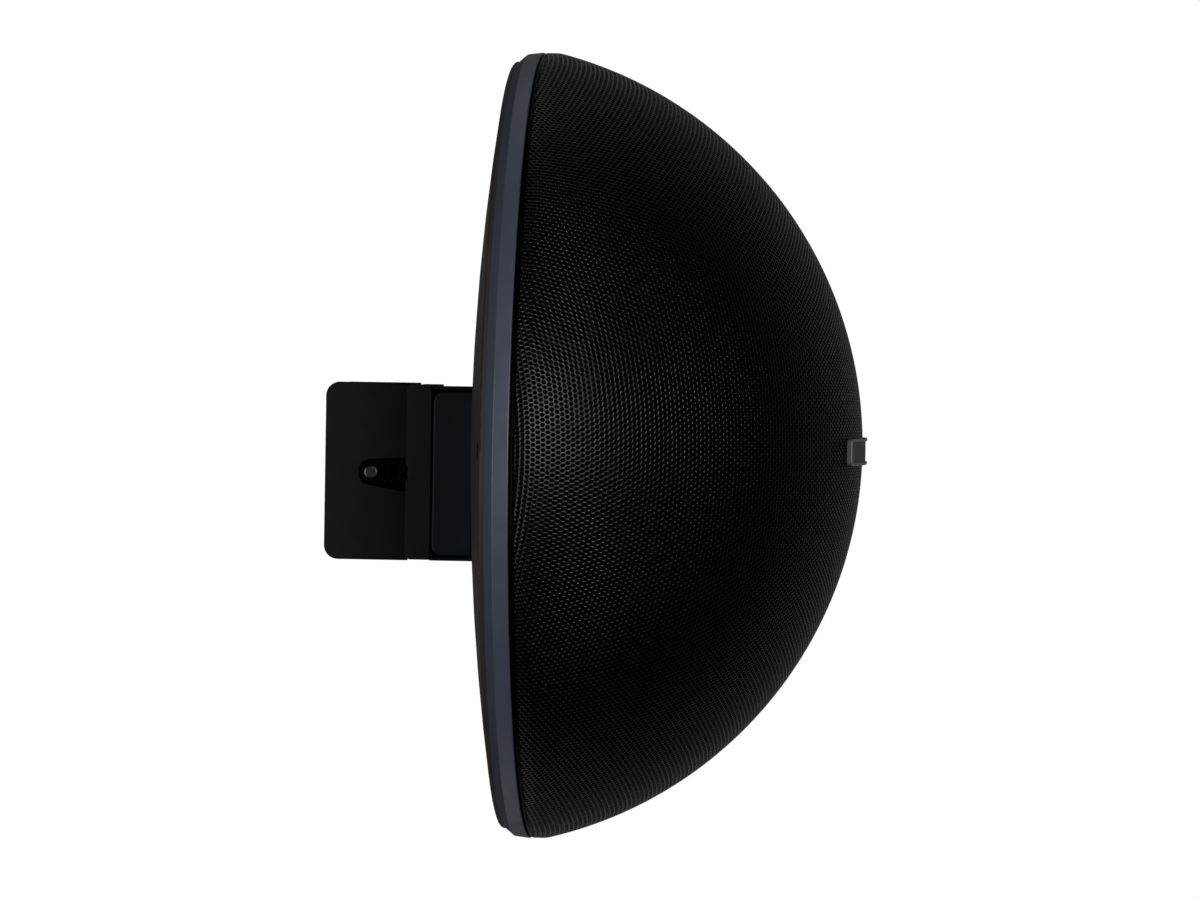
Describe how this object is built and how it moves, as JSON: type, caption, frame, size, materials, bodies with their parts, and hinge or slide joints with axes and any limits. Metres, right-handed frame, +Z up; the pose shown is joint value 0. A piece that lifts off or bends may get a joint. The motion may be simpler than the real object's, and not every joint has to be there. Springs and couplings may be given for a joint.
{
  "type": "outdoor patio speaker",
  "caption": "Dome-fronted outdoor speaker on a tilting wall bracket: a perforated dome grille over a coaxial woofer and tweeter in a sealed cabinet.",
  "frame": {"origin": "middle of the bracket's wall face, between the four wall slots", "axes": "+X out of the wall towards the dome's apex, +Z up, +Y to the side where the lock bolt's head is"},
  "size_m": [0.2536, 0.37, 0.37],
  "materials": {
    "powder_coated_casting": "fine matt powder coat",
    "black_rubber": "matt",
    "black_nylon": "moulded",
    "black_zinc_steel": "black zinc plated",
    "slate_moulding": "satin",
    "shell_moulding": "fine grain",
    "coated_perforated_steel": "satin powder coat",
    "scrim_cloth": "fine weave",
    "badge_metal": "satin",
    "bright_steel": "zinc plated",
    "ferrite": "ground",
    "copper_winding": "enamelled wire",
    "cone_polymer": "satin",
    "spider_cloth": "impregnated weave",
    "dome_silk": "coated silk",
    "board_laminate": "lacquered",
    "capacitor_film": "gloss",
    "resistor_ceramic": "matt"
  },
  "bodies": {
    "bracket": {"wall_bracket": "powder_coated_casting", "cable_grommet": "black_rubber"},
    "head": {"back_shell": "shell_moulding", "badge": "badge_metal", "badge_clips": "bright_steel", "baffle_bowl": "black_nylon", "board_screws": "black_zinc_steel", "bridge_screws": "black_zinc_steel", "cabinet_gasket": "black_rubber", "cabinet_screws": "black_zinc_steel", "cable_gland": "black_rubber", "capacitors": "capacitor_film", "crossover_board": "board_laminate", "grille": "coated_perforated_steel", "grille_scrim": "scrim_cloth", "grille_seal": "black_rubber", "inductor": "copper_winding", "lock_bolt": "black_zinc_steel", "lock_washer": "black_zinc_steel", "neck": "black_nylon", "neck_caps": "slate_moulding", "neck_screws": "black_zinc_steel", "resistor": "resistor_ceramic", "rim_ring": "slate_moulding", "terminal_block": "black_nylon", "tilt_bolts": "black_zinc_steel", "tilt_bushes": "black_nylon", "tilt_hub": "powder_coated_casting", "tweeter_bridge": "black_nylon", "tweeter_cup": "bright_steel", "tweeter_diaphragm": "dome_silk", "tweeter_faceplate": "black_nylon", "tweeter_magnet": "ferrite", "tweeter_pole": "bright_steel", "tweeter_screws": "black_zinc_steel", "woofer_basket": "powder_coated_casting", "woofer_gasket": "black_rubber", "woofer_magnet": "ferrite", "woofer_screws": "black_zinc_steel", "woofer_spider": "spider_cloth", "woofer_surround": "black_rubber", "woofer_top_plate": "bright_steel", "woofer_yoke": "bright_steel"},
    "cone": {"woofer_cone": "cone_polymer", "dust_cap": "cone_polymer", "voice_coil": "copper_winding"}
  },
  "joints": [
    {"name": "tilt", "type": "hinge", "parent": "bracket", "child": "head", "pos_m": [0.0218, 0, -0.0005], "axis": [0, 1, 0], "range_deg": [-10, 10]},
    {"name": "cone_travel", "type": "slide", "parent": "head", "child": "cone", "axis": [1, 0, 0], "range_m": [-0.005, 0.005], "stiffness_N_per_m": 1500, "deforming": ["woofer_surround", "woofer_spider"]}
  ]
}
